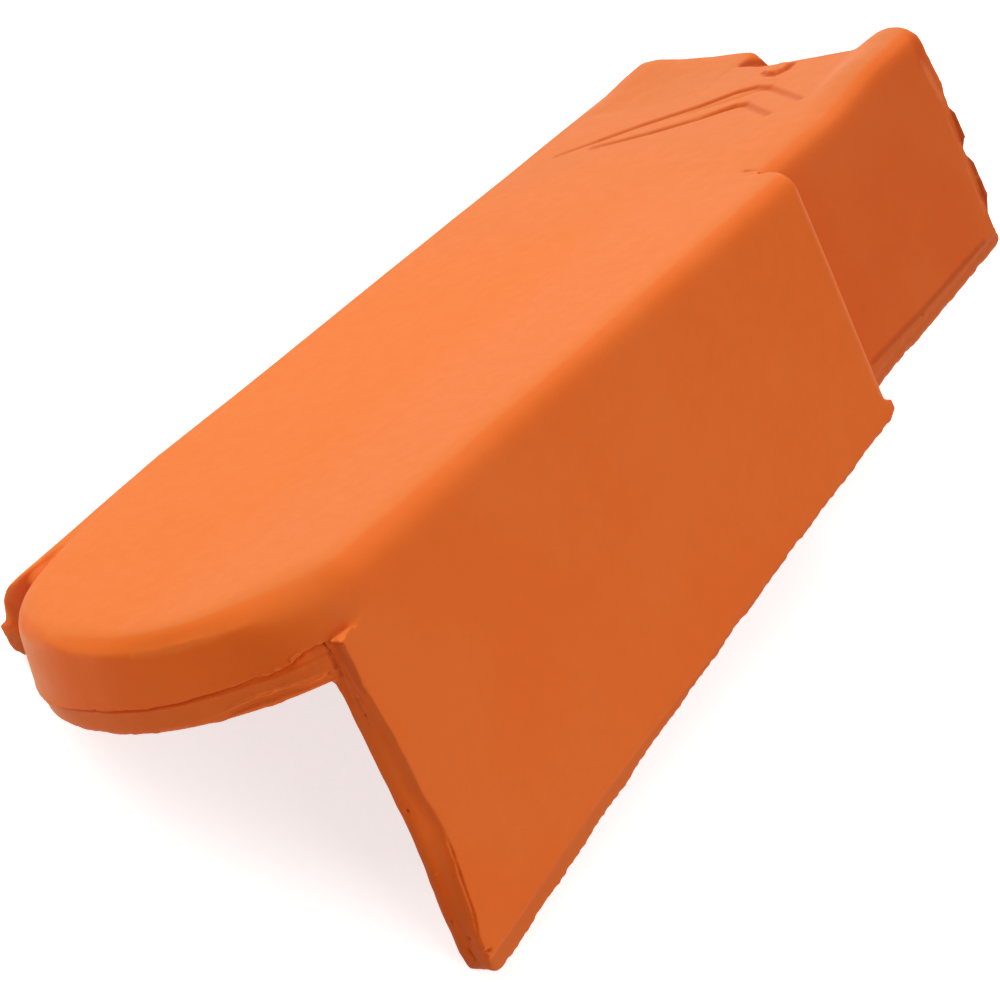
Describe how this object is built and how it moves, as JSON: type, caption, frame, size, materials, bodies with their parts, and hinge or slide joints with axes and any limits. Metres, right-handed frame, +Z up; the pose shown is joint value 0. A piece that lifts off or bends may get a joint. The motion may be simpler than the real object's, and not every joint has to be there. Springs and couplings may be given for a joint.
{
  "type": "right-hand verge roof tile",
  "caption": "Fired clay roof tile with a round tail, a thick skirt and a deep side flange that covers the verge of a pitched roof.",
  "frame": {"origin": "middle of the bounding box on the floor that the tile lies on", "axes": "+Y from the round tail to the head, +X from the left rail to the side flange, +Z up; the face leans about 37 degrees to the left"},
  "size_m": [0.212, 0.4248, 0.1149],
  "materials": {
    "clay": "matte, unglazed natural red fired clay"
  },
  "bodies": {
    "root": {"tile": "clay"}
  },
  "joints": []
}
